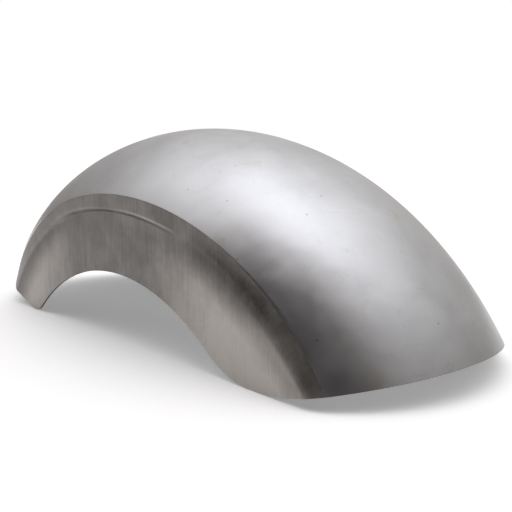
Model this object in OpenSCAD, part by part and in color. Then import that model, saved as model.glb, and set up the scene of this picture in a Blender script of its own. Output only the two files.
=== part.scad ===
// Rear fender for a motorcycle, pressed from one sheet of bare steel.
// X runs across the fender, +Y is the end toward the front of the machine, Z is up.
// It stands on the toes of its two side plates; the centre of its footprint is at the origin.
// Angles are counted about the wheel axle from the rear horizon, over the top, to the front.

/* [Crown] */

// Outer radius of the crown's centre line about the wheel axle
crown_radius = 350; // [340:1:370]
// Width over the creases where the crown is widest
crown_width = 249; // [244:1:256]
// Width over the creases at the rear trim
crown_width_rear = 220; // [212:1:230]
// Width over the creases at the front trim
crown_width_front = 199; // [192:1:210]
// Angle at which the crown is widest
widest_angle = 99; // [94:1:104]
// Fall from the centre line to the creases where it is deepest
crown_drop = 60; // [56:1:63]
// Fall from the centre line to the creases at the rear trim
crown_drop_rear = 47; // [44:1:52]
// Fall from the centre line to the creases at the front trim
crown_drop_front = 50; // [46:1:54]
// Angle at which the crown is deepest
deepest_angle = 112; // [106:1:116]

/* [Side plates] */

// Width over the two flat side plates
plate_width = 236.4; // [232:0.4:240]
// Radius about the axle where a plate becomes flat, over the top
plate_top_radius = 274; // [270:1:278]
// Radius where a plate becomes flat at the rear trim
plate_top_rear = 290; // [287:1:292]
// Radius where a plate becomes flat at the front trim
plate_top_front = 266; // [262:1:270]
// Angle ahead of which the shoulder turns softly into the plate
soft_shoulder_angle = 90; // [84:1:94]
// Radius of the arch along the lower edge of the plates
arch_radius = 220; // [212:1:230]

/* [Trim] */

// Height of the toes above the wheel axle
toe_height = 157.5; // [154:0.5:160]
// Radius of a rear toe on its side toward the arch
rear_toe_radius = 84; // [70:1:96]
// Radius of a rear toe on its side toward the rear trim
rear_heel_radius = 160; // [130:1:180]
// Slope of the rear trim
rear_trim_slope = 13.1; // [11:0.1:15]
// Radius of a front toe
front_toe_radius = 21; // [16:1:26]
// Slope of the front trim
front_trim_slope = 18.2; // [16:0.1:20]

/* [Sheet] */

// Thickness of the steel sheet
sheet = 2; // [1.6:0.1:2.2]

/* [Hidden] */

// columns round the wheel, and strips across the crown and each shoulder
column_count = 54;
crown_strip_count = 26;
shoulder_strip_count = 6;

// arc steps along the lower edge of a plate
heel_step_count = 6;
rear_toe_step_count = 8;
arch_step_count = 40;
front_toe_step_count = 10;

// the shoulder's bend closes in on the plate by this power of the way down
shoulder_power = 1.4;
// share of the shoulder that stays upright above its joggle, crisp and soft
crisp_upright = 0.7;
soft_upright = 0.45;
soft_angle_run = 30;

plate_x = plate_width / 2;
steel = [0.56, 0.57, 0.59];

// a point of the side view from a distance and an angle about the axle
function side_point(radius, angle) = [-radius * cos(angle), radius * sin(angle)];
function angle_of(p) = atan2(p[1], -p[0]);
function arc(centre, radius, from, to, steps) =
    [for (k = [0 : steps]) let (a = from + (to - from) * k / steps)
        centre + radius * [cos(a), sin(a)]];

// centres of the toe arcs, each touching the toe height and, except the heel, the arch
rear_toe_z = toe_height + rear_toe_radius;
rear_toe = [-sqrt(pow(arch_radius + rear_toe_radius, 2) - pow(rear_toe_z, 2)), rear_toe_z];
heel = [rear_toe[0], toe_height + rear_heel_radius];
front_toe_z = toe_height + front_toe_radius;
front_toe = [sqrt(pow(arch_radius + front_toe_radius, 2) - pow(front_toe_z, 2)), front_toe_z];

// trim lines leave the heel and the front toe as tangents
rear_start = heel + rear_heel_radius * [-sin(rear_trim_slope), -cos(rear_trim_slope)];
rear_way = [-cos(rear_trim_slope), sin(rear_trim_slope)];
front_start = front_toe + front_toe_radius * [sin(front_trim_slope), -cos(front_trim_slope)];
front_way = [cos(front_trim_slope), sin(front_trim_slope)];

// angle at which a trim line reaches a distance from the axle
function trim_angle(start, way, radius) =
    let (along = start * way, run = -along + sqrt(along * along + radius * radius - start * start))
    angle_of(start + run * way);

rear_angle = trim_angle(rear_start, rear_way, crown_radius);
front_angle = trim_angle(front_start, front_way, crown_radius);
crown_rear = side_point(crown_radius, rear_angle);
crown_front = side_point(crown_radius, front_angle);
middle_y = (crown_rear[0] + crown_front[0]) / 2;

// a value that eases up from the rear trim to its peak and falls as a parabola to the front
function ease(u) = (1 - cos(180 * max(0, min(1, u)))) / 2;
function along_wheel(angle, rear, peak, front, peak_angle) =
    angle < peak_angle
        ? rear + (peak - rear) * ease((angle - rear_angle) / (peak_angle - rear_angle))
        : peak + (front - peak) * pow((angle - peak_angle) / (front_angle - peak_angle), 2);

function half_width(angle) =
    along_wheel(angle, crown_width_rear, crown_width, crown_width_front, widest_angle) / 2;
function drop(angle) =
    along_wheel(angle, crown_drop_rear, crown_drop, crown_drop_front, deepest_angle);
function flat_radius(angle) =
    let (rear = soft_shoulder_angle - rear_angle, front = front_angle - soft_shoulder_angle,
         past = angle - soft_shoulder_angle)
    past < 0
        ? plate_top_radius + (plate_top_rear - plate_top_radius) * pow(past / rear, 2)
        : plate_top_radius + (plate_top_front - plate_top_radius) * pow(past / front, 2);

// the crown is a circular arc across; the place runs from 0 at the centre line to 1 at the crease
function crown_place(angle, place) =
    let (w = half_width(angle), h = drop(angle), bend = (w * w + h * h) / (2 * h),
         turn = 2 * atan(h / w) * place)
    [bend * sin(turn), crown_radius - bend * (1 - cos(turn))];

// two parabolas that lead from 0 to 1 with level ends
function joggle(u) = u < 0 ? 0 : u < 0.5 ? 2 * u * u : 1 - 2 * pow(1 - u, 2);

// the shoulder goes from the crease to the plate: it bends outward where the crown is narrower
// than the plates, ever more as a joggle the nearer it comes to their width, and steps inward
// through a joggle where the crown stands proud of them
function upright(angle) =
    crisp_upright + (soft_upright - crisp_upright)
        * ease((angle - soft_shoulder_angle) / soft_angle_run);
function outward(place, w) =
    let (bent = 1 - pow(1 - place, shoulder_power), narrowest = crown_width_rear / 2,
         near = max(0, (w - narrowest) / (plate_x - narrowest)))
    bent + (joggle(place) - bent) * near;
function inward(place, u) = joggle((place - u) / (1 - u));
function shoulder_place(angle, place) =
    let (w = half_width(angle), top = crown_radius - drop(angle), base = flat_radius(angle),
         share = plate_x > w ? outward(place, w) : inward(place, upright(angle)))
    [w + (plate_x - w) * share, top + (base - top) * place];

// strip lines across, from 0 at the left plate over the centre line to the right plate
half_strip_count = crown_strip_count / 2;
line_count = crown_strip_count + 2 * shoulder_strip_count;
function section(line, angle) =
    let (k = line - line_count / 2, side = k < 0 ? -1 : 1, n = abs(k),
         p = n <= half_strip_count
            ? crown_place(angle, n / half_strip_count)
            : shoulder_place(angle, (n - half_strip_count) / shoulder_strip_count))
    [side * p[0], p[1]];

// inner face: each section point moves in by the sheet along the mean normal of its neighbours
function unit(v) = v / norm(v);
function normal(a, b) = unit([a[1] - b[1], b[0] - a[0]]);
function section_inner(line, angle) =
    let (p = section(line, angle),
         before = line == 0 ? [-1, 0] : normal(section(line - 1, angle), p),
         after = line == line_count ? [1, 0] : normal(p, section(line + 1, angle)),
         mean = unit(before + after))
    line == 0 ? p + [sheet, 0]
        : line == line_count ? p - [sheet, 0]
        : p - mean * sheet / max(0.8, mean * before);

// each strip line ends where it meets the trim lines
function line_end(line, start, way, angle, rounds) =
    rounds == 0 ? angle
        : line_end(line, start, way, trim_angle(start, way, section(line, angle)[1]), rounds - 1);
trim_round_count = 8;
line_rear = [for (i = [0 : line_count])
    line_end(i, rear_start, rear_way, rear_angle, trim_round_count)];
line_front = [for (i = [0 : line_count])
    line_end(i, front_start, front_way, front_angle, trim_round_count)];

// space coordinates of a section point
function place(p, angle) =
    [p[0], -p[1] * cos(angle) - middle_y, p[1] * sin(angle) - toe_height];
function column_angle(line, column) =
    line_rear[line] + (line_front[line] - line_rear[line]) * column / column_count;

outer_grid = [for (i = [0 : line_count], j = [0 : column_count])
    let (a = column_angle(i, j)) place(section(i, a), a)];
inner_grid = [for (i = [0 : line_count], j = [0 : column_count])
    let (a = column_angle(i, j)) place(section_inner(i, a), a)];

// lower edge of a plate from the rear trim to the front trim, without its two end corners
straight_down = -90;
front_toe_meet = atan2(-front_toe[1], -front_toe[0]);
rear_toe_meet = atan2(-rear_toe[1], -rear_toe[0]);
arch_from = atan2(rear_toe[1], rear_toe[0]);
arch_to = atan2(front_toe[1], front_toe[0]);
function but_first(list) = [for (k = [1 : len(list) - 1]) list[k]];
lower_edge = concat(
    arc(heel, rear_heel_radius, straight_down - rear_trim_slope, straight_down, heel_step_count),
    but_first(arc(rear_toe, rear_toe_radius, straight_down, rear_toe_meet, rear_toe_step_count)),
    but_first(arc([0, 0], arch_radius, arch_from, arch_to, arch_step_count)),
    but_first(arc(front_toe, front_toe_radius, front_toe_meet, straight_down + front_trim_slope,
        front_toe_step_count)));
edge_points = len(lower_edge);
function edge_line(x) = [for (p = lower_edge) [x, p[0] - middle_y, p[1] - toe_height]];

// vertex numbers
grid_size = (line_count + 1) * (column_count + 1);
function outer(i, j) = i * (column_count + 1) + j;
function inner(i, j) = grid_size + outer(i, j);
function edge(which, k) = 2 * grid_size + which * edge_points + k;
left_outer = 0;
left_inner = 1;
right_outer = 2;
right_inner = 3;

// a plate's face is laced between the shoulder's last line and the lower edge, in order of angle
function count_below(list, limit) = len([for (a = list) if (a < limit) a]);
plate_angles = [for (j = [0 : column_count]) column_angle(0, j)];
edge_angles = [for (p = lower_edge) angle_of(p)];
line_partner = [for (a = plate_angles) max(0, count_below(edge_angles, a) - 1)];
edge_partner = [for (a = edge_angles) count_below(plate_angles, a) - 1];
function plate_faces(line, which, inside) =
    let (top = [for (j = [0 : column_count]) inside ? inner(line, j) : outer(line, j)])
    concat(
        [for (j = [1 : column_count]) [top[j], top[j - 1], edge(which, line_partner[j])]],
        [for (k = [1 : edge_points - 1])
            [edge(which, k), top[edge_partner[k]], edge(which, k - 1)]]);

function rim(line, out, in) = concat(
    [[outer(line, 0), inner(line, 0), edge(in, 0), edge(out, 0)]],
    [for (k = [0 : edge_points - 2]) [edge(out, k), edge(in, k), edge(in, k + 1), edge(out, k + 1)]],
    [[edge(out, edge_points - 1), edge(in, edge_points - 1), inner(line, column_count),
        outer(line, column_count)]]);
function reversed(list) = [for (k = [len(list) - 1 : -1 : 0]) list[k]];
function flipped(faces) = [for (f = faces) reversed(f)];

outer_faces = [for (i = [0 : line_count - 1], j = [0 : column_count - 1], half = [0, 1])
    half == 0
        ? [outer(i, j), outer(i, j + 1), outer(i + 1, j + 1)]
        : [outer(i, j), outer(i + 1, j + 1), outer(i + 1, j)]];
inner_faces = [for (i = [0 : line_count - 1], j = [0 : column_count - 1], half = [0, 1])
    half == 0
        ? [inner(i, j), inner(i + 1, j + 1), inner(i, j + 1)]
        : [inner(i, j), inner(i + 1, j), inner(i + 1, j + 1)]];
trim_faces = [for (i = [0 : line_count - 1], end = [0, 1], half = [0, 1])
    let (j = end * column_count,
         f = half == 0
            ? [outer(i, j), outer(i + 1, j), inner(i + 1, j)]
            : [outer(i, j), inner(i + 1, j), inner(i, j)])
    end == 0 ? f : reversed(f)];

// one sheet bent into crown, shoulders and side plates
module fender() {
    color(steel)
        polyhedron(
            points = concat(outer_grid, inner_grid, edge_line(-plate_x), edge_line(sheet - plate_x),
                edge_line(plate_x), edge_line(plate_x - sheet)),
            faces = concat(outer_faces, inner_faces, trim_faces,
                plate_faces(0, left_outer, false),
                flipped(plate_faces(0, left_inner, true)),
                flipped(plate_faces(line_count, right_outer, false)),
                plate_faces(line_count, right_inner, true),
                rim(0, left_outer, left_inner),
                flipped(rim(line_count, right_outer, right_inner))));
}

fender();
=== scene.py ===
import math

import bmesh
import bpy
import numpy as np
from mathutils import Matrix, Vector


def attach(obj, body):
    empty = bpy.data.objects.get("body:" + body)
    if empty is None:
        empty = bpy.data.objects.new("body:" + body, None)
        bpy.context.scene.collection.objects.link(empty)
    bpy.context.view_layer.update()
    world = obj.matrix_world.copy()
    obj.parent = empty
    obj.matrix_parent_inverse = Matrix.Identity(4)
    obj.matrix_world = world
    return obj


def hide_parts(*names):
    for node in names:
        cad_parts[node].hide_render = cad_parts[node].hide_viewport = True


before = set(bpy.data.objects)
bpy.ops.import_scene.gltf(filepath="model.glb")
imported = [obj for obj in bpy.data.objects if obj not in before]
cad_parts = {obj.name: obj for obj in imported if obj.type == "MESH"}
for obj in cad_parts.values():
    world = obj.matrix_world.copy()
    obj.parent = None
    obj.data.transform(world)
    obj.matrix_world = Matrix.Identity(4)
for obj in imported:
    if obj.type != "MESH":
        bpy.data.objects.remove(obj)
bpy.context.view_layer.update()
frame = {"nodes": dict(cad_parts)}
print("frame loaded:", ", ".join(frame["nodes"]))


# the fender sheet's form: millimetres, and degrees about the wheel axle from the rear horizon
# over the top to the front. A slope is in degrees above level, and each upright is the share of
# the shoulder's depth above its joggle.
form = {
    "crownRadius": 350.0,
    "crownWidth": 249.0, "crownWidthRear": 220.0, "crownWidthFront": 199.0, "widestAngle": 99.0,
    "crownDrop": 60.0, "crownDropRear": 47.0, "crownDropFront": 50.0, "deepestAngle": 112.0,
    "plateWidth": 236.4,
    "plateTopRadius": 274.0, "plateTopRear": 290.0, "plateTopFront": 266.0,
    "softShoulderAngle": 90.0, "archRadius": 220.0,
    "toeHeight": 157.5, "rearToeRadius": 84.0, "rearHeelRadius": 160.0, "rearTrimSlope": 13.1,
    "frontToeRadius": 21.0, "frontTrimSlope": 18.2,
    "sheet": 2.0,
    "shoulderPower": 1.4, "crispUpright": 0.7, "softUpright": 0.45, "softAngleRun": 30.0,
    # how far each side of the crease its rounding reaches: crisp over the top, and softer by the
    # second of these angles toward the front and the rear
    "creaseReach": 0.25, "creaseReachFront": 4.5, "creaseReachRear": 2.0,
    "creaseFront": (100.0, 128.0), "creaseRear": (58.0, 40.0),
}

# its mesh: even rows and columns, and a close row on each side of the crease, at these shares of
# the crown and of the shoulder, that keeps the shading of the rounding to itself
meshPlan = {
    "columns": 280, "crownRows": 40, "creaseRows": 4, "shoulderRows": 16, "plateRows": 6,
    "crownCloseRow": 0.997, "shoulderCloseRow": 1 / 64,
    "trimPasses": 12, "weld": 2e-6, "sliver": 1e-7, "sharpAngle": 40.0,
}


def towardAxle(angle):
    # unit vector of the side view (forward, up) at an angle about the axle
    a = np.radians(angle)
    return np.stack([-np.cos(a), np.sin(a)], -1)


def angleOf(p):
    return np.degrees(np.arctan2(p[..., 1], -p[..., 0]))


def toeCentre(radius, side):
    # a toe arc touches the toe height and the arch
    up = form["toeHeight"] + radius
    return np.array([side * math.sqrt((form["archRadius"] + radius) ** 2 - up ** 2), up])


def trimLine(centre, radius, slope, side):
    # a straight trim leaves the arc before it at its slope: a start point and a direction
    slope = math.radians(slope)
    start = centre + radius * np.array([side * math.sin(slope), -math.cos(slope)])
    return start, np.array([side * math.cos(slope), math.sin(slope)])


rearToe = toeCentre(form["rearToeRadius"], -1)
rearHeel = np.array([rearToe[0], form["toeHeight"] + form["rearHeelRadius"]])
frontToe = toeCentre(form["frontToeRadius"], 1)
rearTrim = trimLine(rearHeel, form["rearHeelRadius"], form["rearTrimSlope"], -1)
frontTrim = trimLine(frontToe, form["frontToeRadius"], form["frontTrimSlope"], 1)


def trimAngle(trim, radius):
    # where a straight trim line is at a given distance from the axle
    start, way = trim
    along = start @ way
    run = -along + np.sqrt(along ** 2 + radius ** 2 - start @ start)
    return angleOf(start + run[..., None] * way)


rearAngle = float(trimAngle(rearTrim, np.array(form["crownRadius"])))
frontAngle = float(trimAngle(frontTrim, np.array(form["crownRadius"])))
endsForward = form["crownRadius"] * (towardAxle(rearAngle) + towardAxle(frontAngle))[0]
middleForward = endsForward / 2


def easeUp(u):
    return (1 - np.cos(np.pi * np.clip(u, 0, 1))) / 2


def blend(value, start, end):
    # 0 at the start and 1 at the end with level ends
    return easeUp((value - start) / (end - start))


def window(value, a, b, c, d):
    # rises from a to b and falls from c to d
    return blend(value, a, b) * (1 - blend(value, c, d))


def alongWheel(angle, rear, peak, front, peakAngle):
    # eases up from the rear trim to the peak, then falls as a parabola to the front trim
    up = rear + (peak - rear) * blend(angle, rearAngle, peakAngle)
    down = peak + (front - peak) * ((angle - peakAngle) / (frontAngle - peakAngle)) ** 2
    return np.where(angle < peakAngle, up, down)


def halfWidth(angle):
    return alongWheel(angle, form["crownWidthRear"], form["crownWidth"],
                      form["crownWidthFront"], form["widestAngle"]) / 2


def crownDrop(angle):
    return alongWheel(angle, form["crownDropRear"], form["crownDrop"],
                      form["crownDropFront"], form["deepestAngle"])


def flatRadius(angle):
    # the radius at which a side plate becomes flat: it grows by a parabola toward the rear trim
    # and shrinks by one toward the front trim
    middle = form["softShoulderAngle"]
    rear = (form["plateTopRear"] - form["plateTopRadius"]) \
        * ((angle - middle) / (middle - rearAngle)) ** 2
    front = (form["plateTopFront"] - form["plateTopRadius"]) \
        * ((angle - middle) / (frontAngle - middle)) ** 2
    return form["plateTopRadius"] + np.where(angle < middle, rear, front)


def crownAt(angle, place):
    # circular arc across: place 0 is the centre line and 1 the crease; gives (across, radius)
    w, h = halfWidth(angle), crownDrop(angle)
    bend = (w * w + h * h) / (2 * h)
    turn = 2 * np.arctan(h / w) * place
    return np.stack([bend * np.sin(turn), form["crownRadius"] - bend * (1 - np.cos(turn))], -1)


def joggle(u):
    # two parabolas that lead from 0 to 1 with level ends
    u = np.clip(u, 0, 1)
    return np.where(u < 0.5, 2 * u * u, 1 - 2 * (1 - u) ** 2)


def uprightShare(angle):
    # how much of the shoulder stands upright before its joggle
    return form["crispUpright"] + (form["softUpright"] - form["crispUpright"]) \
        * easeUp((angle - form["softShoulderAngle"]) / form["softAngleRun"])


def shoulderAt(angle, place):
    # from the crease down to the flat of the plate: a bend outward where the crown is the
    # narrower, by a power law that turns into a joggle as it nears the plates' width, and
    # upright with a joggle inward where the crown stands proud
    w, plate = halfWidth(angle), form["plateWidth"] / 2
    top, base = form["crownRadius"] - crownDrop(angle), flatRadius(angle)
    upright = uprightShare(angle)
    narrowest = form["crownWidthRear"] / 2
    near = np.maximum(0, (w - narrowest) / (plate - narrowest))
    bent = 1 - (1 - np.clip(place, 0, 1)) ** form["shoulderPower"]
    outward = bent + (joggle(place) - bent) * near
    share = np.where(plate > w, outward, joggle((place - upright) / (1 - upright)))
    return np.stack([w + (plate - w) * share, top + (base - top) * place], -1)


def creaseShares(angle):
    # the share of the crown and of the shoulder that the crease's rounding takes up; the length
    # of each is judged from a short piece of it beside the crease
    crownPiece, shoulderPiece = 0.03, 0.1
    crownStep = crownAt(angle, 1.0) - crownAt(angle, 1 - crownPiece)
    shoulderStep = shoulderAt(angle, shoulderPiece) - shoulderAt(angle, 0.0)
    crisp = form["creaseReach"]
    reach = crisp + (form["creaseReachFront"] - crisp) * blend(angle, *form["creaseFront"]) \
        + (form["creaseReachRear"] - crisp) * blend(angle, *form["creaseRear"])
    return reach * crownPiece / np.linalg.norm(crownStep, axis=-1), \
        reach * shoulderPiece / np.linalg.norm(shoulderStep, axis=-1)


def lowerRadius(angle):
    # the lower edge of a plate as seen from the axle: trims, toes and arch, each by its own angles
    way = towardAxle(angle)

    def line(trim):
        start, along = trim
        return (start[0] * along[1] - start[1] * along[0]) \
            / (way[..., 0] * along[1] - way[..., 1] * along[0])

    def circle(centre, radius):
        reach = way @ centre
        return reach - np.sqrt(np.maximum(reach ** 2 - centre @ centre + radius ** 2, 0))

    toeLow = angleOf(np.array([rearToe[0], form["toeHeight"]]))
    return np.select(
        [angle < angleOf(rearTrim[0]), angle < toeLow, angle < angleOf(rearToe),
         angle < angleOf(frontToe), angle < angleOf(frontTrim[0])],
        [line(rearTrim), circle(rearHeel, form["rearHeelRadius"]),
         circle(rearToe, form["rearToeRadius"]), np.full_like(angle, form["archRadius"]),
         circle(frontToe, form["frontToeRadius"])],
        line(frontTrim))


def halfSection(kind, share, angle):
    # one row of the half section at all its angles; share is the place within that kind of row
    crownShare, shoulderShare = creaseShares(angle)
    if kind == "crown":
        return crownAt(angle, share * (1 - crownShare))
    if kind == "crease":
        start, end = crownAt(angle, 1 - crownShare), shoulderAt(angle, shoulderShare)
        corner = crownAt(angle, 1.0)
        return (1 - share) ** 2 * start + 2 * share * (1 - share) * corner + share ** 2 * end
    if kind == "shoulder":
        return shoulderAt(angle, shoulderShare + (1 - shoulderShare) * share)
    top, low = flatRadius(angle), lowerRadius(angle)
    return np.stack([np.full_like(angle, form["plateWidth"] / 2), top + (low - top) * share], -1)


# how bright the sanded skin is painted, from 0 dark to 1 bright: painted light and shade in
# place of the reflections on the shoulders and plates. Groups of two or four numbers are where a
# mark comes and goes: degrees about the axle, or for the shares the depth below the crease over
# the shoulder's whole depth. The painted highlight line, the painted shadow line under it and the
# top band's end are placed in millimetres below the start of the crisp joggle, and the front's
# painted bright bend and dark lip by their place in the joggle and their reach there. The ends
# brightened by painted reflection are placed in metres ahead of or behind the dull middle.
skinLook = {
    "plain": 0.35, "inside": 0.5,
    "topBand": (68.0, 80.0, 100.0, 116.0), "topBandEnd": (-2.0, 2.0), "topBandBright": 0.07,
    "highlightLine": (69.0, 74.0, 80.0, 88.0), "highlightLineHeight": 0.9, "highlightLineBright": 0.36,
    "shadowLineBelow": 2.8, "shadowLineHeight": 1.3, "shadowLineDark": 0.2,
    "frontLines": (84.0, 97.0), "frontBend": (0.46, 0.22), "frontBendBright": 0.12,
    "frontLip": (0.95, 0.22), "frontLipDark": 0.11,
    "rearHollow": (60.0, 40.0), "rearHollowBright": 0.42,
    "rearShade": (41.0, 50.0, 61.0, 73.0), "rearShadeDark": 0.18,
    "rearShadeShares": (0.60, 0.85, 0.95, 1.65),
    "dullMiddle": 0.012, "brightEndsFrom": 0.034, "brightEndsRear": 0.175, "brightEndsFront": 0.200,
    "brightEndsShares": (1.08, 2.3),
}


def paintedSkinShading(angle, depth, points):
    # painted light and shade on the sanded skin: plain over the top of the arch, a painted
    # brightening in the hollow of the rear shoulders, painted reflection brightening both ends of
    # the plates, a painted highlight line with a painted shadow line under it at the joggle, a
    # painted bright bend and dark lip at the front and painted shade toward the foot of the rear
    # shoulders
    look = skinLook
    run = form["crownRadius"] - crownDrop(angle) - flatRadius(angle)
    share, below = depth / run, depth - run * form["crispUpright"]
    upright = uprightShare(angle)
    inJoggle = (share - upright) / (1 - upright)
    ahead = points[..., 1] - look["dullMiddle"]

    def line(place, middle, reach):
        return np.exp(-((place - middle) / reach) ** 2)

    # painted reflection: the plates are brightened toward both ends, below the shoulders
    brightEnds = blend(np.abs(ahead), look["brightEndsFrom"],
                   np.where(ahead < 0, look["brightEndsRear"], look["brightEndsFront"])) \
        * blend(share, *look["brightEndsShares"])
    # painted light: the hollow of the rear shoulders is brightened
    bright = brightEnds + (1 - brightEnds) * look["rearHollowBright"] * blend(angle, *look["rearHollow"])
    # a slight painted brightening of the shoulder band over the top, down to the joggle
    topBand = look["topBandBright"] * window(angle, *look["topBand"]) \
        * (1 - blend(below, *look["topBandEnd"]))
    # a painted highlight line at the start of the joggle, with a painted shadow line under it
    highlightLine = (look["highlightLineBright"] * line(below, 0, look["highlightLineHeight"])
             - look["shadowLineDark"] * line(below, look["shadowLineBelow"], look["shadowLineHeight"])) \
        * window(angle, *look["highlightLine"])
    # painted light on the bend of the front joggle and painted shade on its lip
    front = (look["frontBendBright"] * line(inJoggle, *look["frontBend"])
             - look["frontLipDark"] * line(inJoggle, *look["frontLip"])) \
        * blend(angle, *look["frontLines"])
    shade = look["rearShadeDark"] * window(angle, *look["rearShade"]) \
        * window(share, *look["rearShadeShares"])
    return np.clip(look["plain"] + (1 - look["plain"]) * bright + topBand + highlightLine + front - shade,
                   0, 1)


def halfRows():
    # the kind of each row from the centre line down to the lower edge, and its place in that kind
    def evenly(count, *closeRow):
        return sorted([k / count for k in range(count + 1)] + list(closeRow))

    plan = meshPlan
    return [("crown", k) for k in evenly(plan["crownRows"], plan["crownCloseRow"])] \
        + [("crease", k) for k in evenly(plan["creaseRows"])[1:-1]] \
        + [("shoulder", k) for k in evenly(plan["shoulderRows"], plan["shoulderCloseRow"])] \
        + [("plate", k) for k in evenly(plan["plateRows"])[1:]]


def sheetGrid():
    # rows run from the left lower edge over the crown to the right lower edge, columns from the
    # rear trim to the front trim; gives points in metres, the kind of each row, a surface map and
    # the painted light and shade of the skin
    kinds = halfRows()
    spread = np.linspace(0, 1, meshPlan["columns"] + 1)
    half, angles = [], []
    for kind, share in kinds:
        ends = []
        for trim, first in ((rearTrim, rearAngle), (frontTrim, frontAngle)):
            angle = np.array([first])
            # the row's end creeps along the trim line until it meets it
            for _ in range(meshPlan["trimPasses"]):
                radius = halfSection("shoulder" if kind == "plate" else kind,
                                     1.0 if kind == "plate" else share, angle)[..., 1]
                angle = trimAngle(trim, radius)
            ends.append(float(angle[0]))
        angle = ends[0] + (ends[1] - ends[0]) * spread
        half.append(halfSection(kind, share, angle))
        angles.append(angle)
    half, angles = np.array(half), np.array(angles)
    full = np.concatenate([half[:0:-1] * [-1, 1], half])
    turn = np.concatenate([angles[:0:-1], angles])
    names = [k for k, _ in kinds]
    names = names[:0:-1] + names
    view = towardAxle(turn) * full[..., 1:2]
    points = np.stack([full[..., 0], view[..., 0] - middleForward,
                       view[..., 1] - form["toeHeight"]], -1) / 1000
    step = np.linalg.norm(np.diff(points, axis=0), axis=-1)
    across = np.concatenate([np.zeros((1, step.shape[1])), np.cumsum(step, 0)])
    across -= across[len(across) // 2]
    along = np.radians(turn) * form["crownRadius"] / 1000
    depth = form["crownRadius"] - crownDrop(turn) - full[..., 1]
    return points, names, np.stack([across, along], -1), paintedSkinShading(turn, depth, points)


def insideOf(points, names):
    # the inner face lies one sheet thickness in, along the cross product of the two directions
    # of the grid; on the flat plates that direction is straight across. Where the crease is
    # crisp, this face laps over itself by up to half a millimetre, hidden within the sheet
    normal = np.cross(np.gradient(points, axis=0), np.gradient(points, axis=1))
    side = np.sign(points[..., 0])
    flat = np.array([k == "plate" for k in names])
    edgeRow = np.roll(flat, 1) | np.roll(flat, -1) | flat
    normal[edgeRow] = np.stack([side, side * 0, side * 0], -1)[edgeRow]
    normal /= np.linalg.norm(normal, axis=-1, keepdims=True)
    return points - normal * form["sheet"] / 1000


def makeSheet():
    outer, names, chart, paintedShading = sheetGrid()
    inner = insideOf(outer, names)
    rows, columns = outer.shape[:2]
    index = np.arange(rows * columns).reshape(rows, columns)
    under = index + rows * columns

    def quads(a, b, c, d):
        return np.stack([a, b, c, d], -1).reshape(-1, 4)

    outerQuads = quads(index[:-1, :-1], index[1:, :-1], index[1:, 1:], index[:-1, 1:])
    innerQuads = quads(under[:-1, :-1], under[:-1, 1:], under[1:, 1:], under[1:, :-1])
    rimQuads = np.concatenate([
        quads(index[:-1, 0], under[:-1, 0], under[1:, 0], index[1:, 0]),
        quads(index[:-1, -1], index[1:, -1], under[1:, -1], under[:-1, -1]),
        quads(index[0, :-1], index[0, 1:], under[0, 1:], under[0, :-1]),
        quads(index[-1, :-1], under[-1, :-1], under[-1, 1:], index[-1, 1:])])
    faces = np.concatenate([outerQuads, innerQuads, rimQuads])
    # finish 0 is the rolled skin, 1 the sanded one and 2 the edge; most of the crease's rounding
    # takes the brighter rolled skin, painted light that lifts the dark line its reflection draws
    # there
    sanded = [not {a, b} <= {"crown", "crease"} for a, b in zip(names[:-1], names[1:])]
    finish = np.repeat(np.array(sanded, int), columns - 1)
    slots = np.concatenate([finish, finish, np.full(len(rimQuads), 2)])
    chart = np.tile(chart.reshape(-1, 2), (2, 1))
    paintedShading = np.concatenate([paintedShading.ravel(), np.full(paintedShading.size, skinLook["inside"])])

    mesh = bpy.data.meshes.new("fenderSheet")
    mesh.from_pydata(np.concatenate([outer.reshape(-1, 3), inner.reshape(-1, 3)]).tolist(), [],
                     faces.tolist())
    mesh.polygons.foreach_set("material_index", slots.astype(np.int32))
    layer = mesh.uv_layers.new(name="sheetChart")
    layer.data.foreach_set("uv", chart[faces.reshape(-1)].reshape(-1).astype(np.float32))
    # the sanded skin's painted light and shade, which its material reads
    skin = mesh.attributes.new("paintedShading", "FLOAT", "POINT")
    skin.data.foreach_set("value", paintedShading.astype(np.float32))
    # each plate runs to a point at its two corners, so its rows are welded there
    bm = bmesh.new()
    bm.from_mesh(mesh)
    bmesh.ops.remove_doubles(bm, verts=bm.verts, dist=meshPlan["weld"])
    bmesh.ops.dissolve_degenerate(bm, edges=bm.edges, dist=meshPlan["sliver"])
    bm.to_mesh(mesh)
    bm.free()
    mesh.shade_smooth()
    mesh.set_sharp_from_angle(angle=math.radians(meshPlan["sharpAngle"]))
    piece = bpy.data.objects.new("fender_sheet", mesh)
    bpy.context.collection.objects.link(piece)
    return piece


def fromHex(text, alpha=1.0):
    # sRGB hex to the linear values that shaders take
    values = [int(text[i:i + 2], 16) / 255 for i in (1, 3, 5)]
    return tuple(v / 12.92 if v <= 0.04045 else ((v + 0.055) / 1.055) ** 2.4
                 for v in values) + (alpha,)


def gray(value):
    return (value, value, value, 1.0)


def scaled(colour, factor):
    return tuple(c * factor for c in colour[:3]) + (1.0,)


def addNode(tree, kind, settings=None, links=None, ramp=None):
    # settings are the node's own properties or, by number or name, values of its sockets
    node = tree.nodes.new(kind)
    for key, value in (settings or {}).items():
        if isinstance(key, int) or key in node.inputs:
            node.inputs[key].default_value = value
        else:
            setattr(node, key, value)
    for key, source in (links or {}).items():
        tree.links.new(source, node.inputs[key])
    if ramp:
        band = node.color_ramp
        while len(band.elements) < len(ramp):
            band.elements.new(0.5)
        for stop, (place, colour) in zip(band.elements, ramp):
            stop.position, stop.color = place, colour
    return node


# the range that a noise texture's value mostly stays in
noiseRange = (0.3, 0.7)


def around(middle, span):
    return (middle - span / 2, middle + span / 2)


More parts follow.
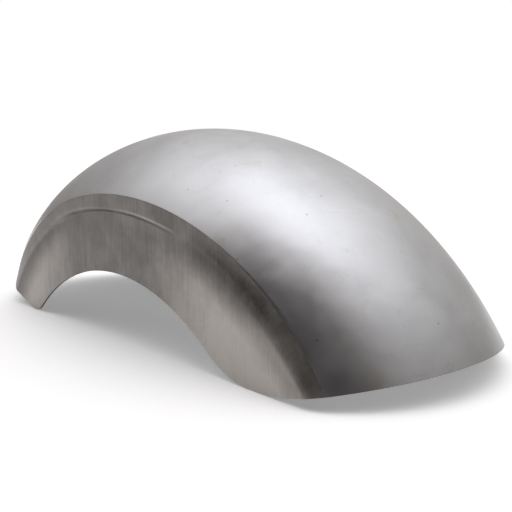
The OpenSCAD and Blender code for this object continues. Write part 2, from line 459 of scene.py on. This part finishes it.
def addNoise(tree, where, perMetre, detail, rough=0.5, distortion=0.0):
    return addNode(tree, "ShaderNodeTexNoise",
                   {"Scale": perMetre, "Detail": detail, "Roughness": rough,
                    "Distortion": distortion}, {"Vector": where}).outputs["Fac"]


def addRange(tree, value, taken, given):
    # turns the taken range of a value into the given one
    return addNode(tree, "ShaderNodeMapRange",
                   {"From Min": taken[0], "From Max": taken[1],
                    "To Min": given[0], "To Max": given[1]}, {"Value": value}).outputs["Result"]


def addMath(tree, operation, first, second):
    return addNode(tree, "ShaderNodeMath", {"operation": operation},
                   {0: first, 1: second}).outputs["Value"]


def addRamp(tree, value, stops):
    return addNode(tree, "ShaderNodeValToRGB", None, {"Fac": value}, stops).outputs["Color"]


def addBump(tree, height, metres, strength=1.0):
    return addNode(tree, "ShaderNodeBump", {"Strength": strength, "Distance": metres},
                   {"Height": height}).outputs["Normal"]


def newMaterial(name):
    material = bpy.data.materials.new(name)
    material.use_nodes = True
    tree = material.node_tree
    tree.nodes.clear()
    where = addNode(tree, "ShaderNodeTexCoord").outputs["Object"]
    return material, tree, where


def addSurface(tree, settings, links):
    shader = addNode(tree, "ShaderNodeBsdfPrincipled", settings, links)
    addNode(tree, "ShaderNodeOutputMaterial", None, {"Surface": shader.outputs["BSDF"]})


rolledSteelLook = {
    "colour": "#B5B6B7", "stain": "#A79A78", "speck": "#5E5A56",
    # each noise by its detail, roughness and distortion
    "roughness": 0.34, "roughSpan": 0.11,
    "cloudMm": 60.0, "cloudNoise": (5.0, 0.6, 0.5), "cloudTone": 0.10,
    # waves are drawn steeper than real so that highlights wander
    "waveMm": 58.0, "waveNoise": (2.0, 0.35), "waveHeightMm": 1.8,
    # stains and hairlines come up as a noise passes through a range, and both keep to fields
    # that a second noise makes in the same way
    "stainMm": 15.0, "stainNoise": (4.0, 0.6, 0.6), "stainRange": (0.60, 0.72),
    "stainFieldMm": 90.0, "stainFieldRange": (0.40, 0.58), "stainStrength": 0.34,
    "hairlineCellMm": 24.0, "hairlineMm": 0.5, "hairlineStrength": 0.16,
    "hairlineFieldMm": 18.0, "hairlineFieldRange": (0.55, 0.62), "fieldNoise": (2.0, 0.5),
    "speckEveryMm": 70.0, "speckMm": 1.0, "speckCore": 0.4, "speckStrength": 0.6,
}


def coldRolledSteel():
    # cold-rolled sheet as it leaves the rolls: a smooth satin skin whose soft highlights spread
    # wide and wander a little, with cloudy patches, hairline scuffs, dried oil stains and specks
    look = rolledSteelLook
    material, tree, where = newMaterial("coldRolledSteel")
    chart = addNode(tree, "ShaderNodeUVMap", {"uv_map": "sheetChart"}).outputs["UV"]

    def cells(everyMm, **settings):
        return addNode(tree, "ShaderNodeTexVoronoi",
                       {"voronoi_dimensions": "2D", "Scale": 1000 / everyMm, **settings},
                       {"Vector": chart}).outputs["Distance"]

    def laidOver(colour, share, text):
        return addNode(tree, "ShaderNodeMix", {"data_type": "RGBA", 7: fromHex(text)},
                       {0: share, 6: colour}).outputs[2]

    cloud = addNoise(tree, where, 1000 / look["cloudMm"], *look["cloudNoise"])
    stain = addNoise(tree, where, 1000 / look["stainMm"], *look["stainNoise"])
    stainField = addNoise(tree, where, 1000 / look["stainFieldMm"], *look["fieldNoise"])
    stains = addMath(tree, "MULTIPLY", addRange(tree, stain, look["stainRange"], (0, 1)),
                     addRange(tree, stainField, look["stainFieldRange"],
                              (0, look["stainStrength"])))
    cellEdge = cells(look["hairlineCellMm"], feature="DISTANCE_TO_EDGE")
    hairlineField = addNoise(tree, where, 1000 / look["hairlineFieldMm"], *look["fieldNoise"])
    hairlines = addMath(tree, "MULTIPLY",
                        addRange(tree, cellEdge,
                                 (0, look["hairlineMm"] / look["hairlineCellMm"]), (1, 0)),
                        addRange(tree, hairlineField, look["hairlineFieldRange"],
                                 (0, look["hairlineStrength"])))
    dot = look["speckMm"] / look["speckEveryMm"]
    specks = addRange(tree, cells(look["speckEveryMm"]), (dot * look["speckCore"], dot),
                      (look["speckStrength"], 0))

    body = fromHex(look["colour"])
    colour = addRamp(tree, cloud, [(noiseRange[0], scaled(body, 1 - look["cloudTone"])),
                                   (noiseRange[1], scaled(body, 1 + look["cloudTone"]))])
    colour = laidOver(colour, stains, look["stain"])
    colour = laidOver(colour, hairlines, look["speck"])
    colour = laidOver(colour, specks, look["speck"])
    rough = addRange(tree, cloud, noiseRange, around(look["roughness"], look["roughSpan"]))
    waves = addNoise(tree, where, 1000 / look["waveMm"], *look["waveNoise"])
    addSurface(tree, {"Metallic": 1.0},
               {"Base Color": colour, "Roughness": rough,
                "Normal": addBump(tree, waves, look["waveHeightMm"] / 1000)})
    return material


sandedSteelLook = {
    "dark": "#45423F", "plain": "#6D6A67", "bright": "#ADA8A2",
    "roughness": 0.38, "roughSpan": 0.10,
    "patchMm": 30.0, "patchNoise": (5.0, 0.6), "patchShare": 0.26,
    # grit 60 leaves 0.3 mm scratches, drawn coarser so that they show
    "grooveMm": 1.2, "grooveLengthMm": 24.0, "grooveNoise": (3.0, 0.6), "grooveShare": 0.15,
    "grooveDepthMm": 0.4, "grooveStrength": 0.10,
}


def beltSandedSteel():
    # the same sheet dressed with a coarse belt: matt and slightly warmer, with short upright
    # scratches that break the light up, cloudy where the belt bore down more or less
    look = sandedSteelLook
    material, tree, where = newMaterial("beltSandedSteel")
    across, upright = 1000 / look["grooveMm"], 1000 / look["grooveLengthMm"]
    stretch = addNode(tree, "ShaderNodeMapping", {"Scale": (across, across, upright)},
                      {"Vector": where}).outputs["Vector"]
    groove = addNoise(tree, stretch, 1.0, *look["grooveNoise"])
    patch = addNoise(tree, where, 1000 / look["patchMm"], *look["patchNoise"])
    # the skin's painted light and shade, with the scratches and patches added to it below
    tone = addNode(tree, "ShaderNodeAttribute", {"attribute_name": "paintedShading"}).outputs["Fac"]
    for noise, share in ((groove, look["grooveShare"]), (patch, look["patchShare"])):
        tone = addMath(tree, "ADD", tone, addRange(tree, noise, noiseRange, around(0, share)))
    tint = addRamp(tree, tone, [(0, fromHex(look["dark"])),
                                (skinLook["plain"], fromHex(look["plain"])),
                                (1, fromHex(look["bright"]))])
    rough = addRange(tree, patch, noiseRange, around(look["roughness"], look["roughSpan"]))
    addSurface(tree, {"Metallic": 1.0},
               {"Base Color": tint, "Roughness": rough,
                "Normal": addBump(tree, groove, look["grooveDepthMm"] / 1000,
                                  look["grooveStrength"])})
    return material


edgeLook = {
    "colour": "#5E5B58", "roughness": 0.55, "roughSpan": 0.20,
    "grainsPerMetre": 900.0, "grainDetail": 2.0,
}


def shearedSteelEdge():
    # the sheared edge: darker and rougher than the faces, so that it draws a thin line
    look = edgeLook
    material, tree, where = newMaterial("shearedSteelEdge")
    grain = addNoise(tree, where, look["grainsPerMetre"], look["grainDetail"])
    addSurface(tree, {"Base Color": fromHex(look["colour"]), "Metallic": 1.0},
               {"Roughness": addRange(tree, grain, (0, 1),
                                      around(look["roughness"], look["roughSpan"]))})
    return material


sheetPiece = makeSheet()
for finish in (coldRolledSteel(), beltSandedSteel(), shearedSteelEdge()):
    sheetPiece.data.materials.append(finish)
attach(sheetPiece, "root")
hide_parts("fender")
print("sheet made:", len(sheetPiece.data.polygons), "faces")


floorLook = {
    "colour": "#FAFAF9", "roughness": 0.9, "glow": "#FDFEFF", "glowStrength": 0.24,
    "grainsPerMetre": 300.0, "grainDetail": 2.0, "grainDepthMm": 0.3, "grainStrength": 0.03,
    "halfSize": 60.0, "tiles": 6,
}


def litFloor():
    # opal acrylic lit from below, as for cut-out pictures: its own glow keeps it as white as the
    # backdrop, so that only the fender's soft shadow shows on it
    look = floorLook
    ticks = np.linspace(-look["halfSize"], look["halfSize"], look["tiles"] + 1)
    x, y = np.meshgrid(ticks, ticks, indexing="ij")
    points = np.stack([x, y, np.zeros_like(x)], -1).reshape(-1, 3)
    index = np.arange(x.size).reshape(x.shape)
    faces = np.stack([index[:-1, :-1], index[1:, :-1], index[1:, 1:], index[:-1, 1:]], -1)
    mesh = bpy.data.meshes.new("litFloor")
    mesh.from_pydata(points.tolist(), [], faces.reshape(-1, 4).tolist())
    floor = bpy.data.objects.new("lit_floor", mesh)
    bpy.context.collection.objects.link(floor)
    material, tree, where = newMaterial("opalAcrylic")
    grain = addNoise(tree, where, look["grainsPerMetre"], look["grainDetail"])
    addSurface(tree, {"Base Color": fromHex(look["colour"]), "Roughness": look["roughness"],
                      "Emission Color": fromHex(look["glow"]),
                      "Emission Strength": look["glowStrength"]},
               {"Normal": addBump(tree, grain, look["grainDepthMm"] / 1000,
                                  look["grainStrength"])})
    mesh.materials.append(material)
    return floor


litFloor()

# a studio as the steel sees it: a broad bright ceiling over dimmer walls, an unlit side of the
# room on the left, a wide pale window on the right toward the front, and two smaller ones
# higher up at the rear right and the front left. A place is an azimuth, 0 at the rear and 90 on
# the left, and an elevation. Brightness is listed by the height of the direction, from -1 to 1,
# or by its angle from the middle of the unlit side or of the window.
studioLook = {
    "low": "#FFF3E9", "high": "#F9F9FF", "unlit": "#FFEDDF",
    "byHeight": [(-1.0, 0.22), (0.0, 0.22), (0.35, 0.28), (0.62, 0.45), (0.84, 0.94),
                 (0.93, 1.36), (1.0, 2.00)],
    "unlitPlace": (74.0, 12.0),
    "byUnlitAngle": [(34.0, 0.03), (46.0, 0.08), (58.0, 0.50), (68.0, 0.94), (84.0, 1.0)],
    "windows": [((-114.0, 33.0), [(8.0, 0.37), (20.0, 0.33), (32.0, 0.25), (45.0, 0.14),
                                  (60.0, 0.06), (76.0, 0.0)]),
                ((-46.0, 49.0), [(7.0, 0.20), (15.0, 0.09), (25.0, 0.0)]),
                ((142.0, 48.0), [(8.0, 0.34), (22.0, 0.13), (34.0, 0.0)])],
    "strength": 1.27, "backdrop": 1.0,
}


def angleFrom(tree, where, place):
    # the angle between a direction and a fixed one, as a share of half a turn
    az, el = (math.radians(v) for v in place)
    axis = (-math.sin(az) * math.cos(el), -math.cos(az) * math.cos(el), math.sin(el))
    near = addNode(tree, "ShaderNodeVectorMath", {"operation": "DOT_PRODUCT", 1: axis}, {0: where})
    angle = addNode(tree, "ShaderNodeMath", {"operation": "ARCCOSINE"}, {0: near.outputs["Value"]})
    return addRange(tree, angle.outputs["Value"], (0, math.pi), (0, 1))


def studioLight():
    look = studioLook
    world = bpy.data.worlds.new("studio")
    bpy.context.scene.world = world
    world.use_nodes = True
    tree = world.node_tree
    tree.nodes.clear()
    where = addNode(tree, "ShaderNodeTexCoord").outputs["Generated"]
    height = addNode(tree, "ShaderNodeSeparateXYZ", None, {0: where}).outputs["Z"]
    # the room's and the windows' ramps hold brightness as a share of the brightest, which the
    # strength below gives back
    top = max(value for _, value in look["byHeight"])
    low, high = np.array(fromHex(look["low"])), np.array(fromHex(look["high"]))
    room = addRamp(tree, addRange(tree, height, (-1, 1), (0, 1)),
                   [((z + 1) / 2, scaled(low + (high - low) * max(z, 0), value / top))
                    for z, value in look["byHeight"]])

    def addLight(kind, first, second):
        return addNode(tree, "ShaderNodeMix", {"data_type": "RGBA", "blend_type": kind, 0: 1.0},
                       {6: first, 7: second}).outputs[2]

    # the darker the unlit side, the more of its own warm tint it takes
    unlit = np.array(fromHex(look["unlit"]))
    shade = addRamp(tree, angleFrom(tree, where, look["unlitPlace"]),
                    [(angle / 180, scaled(unlit + (1 - unlit) * value, value))
                     for angle, value in look["byUnlitAngle"]])
    room = addLight("MULTIPLY", room, shade)
    for place, byAngle in look["windows"]:
        pane = addRamp(tree, angleFrom(tree, where, place),
                       [(angle / 180, gray(value / top)) for angle, value in byAngle])
        room = addLight("ADD", room, pane)
    lit = addNode(tree, "ShaderNodeBackground", {"Strength": top * look["strength"]},
                  {"Color": room})
    seen = addNode(tree, "ShaderNodeBackground", {"Color": gray(1), "Strength": look["backdrop"]})
    # the camera itself sees a plain white backdrop
    path = addNode(tree, "ShaderNodeLightPath")
    both = addNode(tree, "ShaderNodeMixShader", None,
                   {0: path.outputs["Is Camera Ray"], 1: lit.outputs[0], 2: seen.outputs[0]})
    addNode(tree, "ShaderNodeOutputWorld", None, {"Surface": both.outputs[0]})
    bpy.context.scene.view_settings.view_transform = "Standard"


studioLight()

# the photograph's viewpoint, worked out from the outline of the fender; its azimuth is 0 at the
# rear and 90 on the right
cameraPlace = {
    "position": (-0.4594, -0.5511, 0.1849), "azimuth": -42.88, "elevation": 9.47,
    "focalPixels": 717.6, "imagePixels": 512, "sensorMm": 36.0, "clip": (0.02, 300.0),
}


def placeCamera():
    place = cameraPlace
    data = bpy.data.cameras.new("camera")
    data.sensor_width = place["sensorMm"]
    data.lens = place["focalPixels"] / place["imagePixels"] * place["sensorMm"]
    data.clip_start, data.clip_end = place["clip"]
    camera = bpy.data.objects.new("camera", data)
    bpy.context.collection.objects.link(camera)
    az, el = math.radians(place["azimuth"]), math.radians(place["elevation"])
    back = Vector((math.sin(az) * math.cos(el), -math.cos(az) * math.cos(el), math.sin(el)))
    right = Vector((math.cos(az), math.sin(az), 0.0))
    up = back.cross(right)
    turn = Matrix((right, up, back)).transposed().to_4x4()
    camera.matrix_world = Matrix.Translation(place["position"]) @ turn
    bpy.context.scene.camera = camera


placeCamera()
print("stage set")
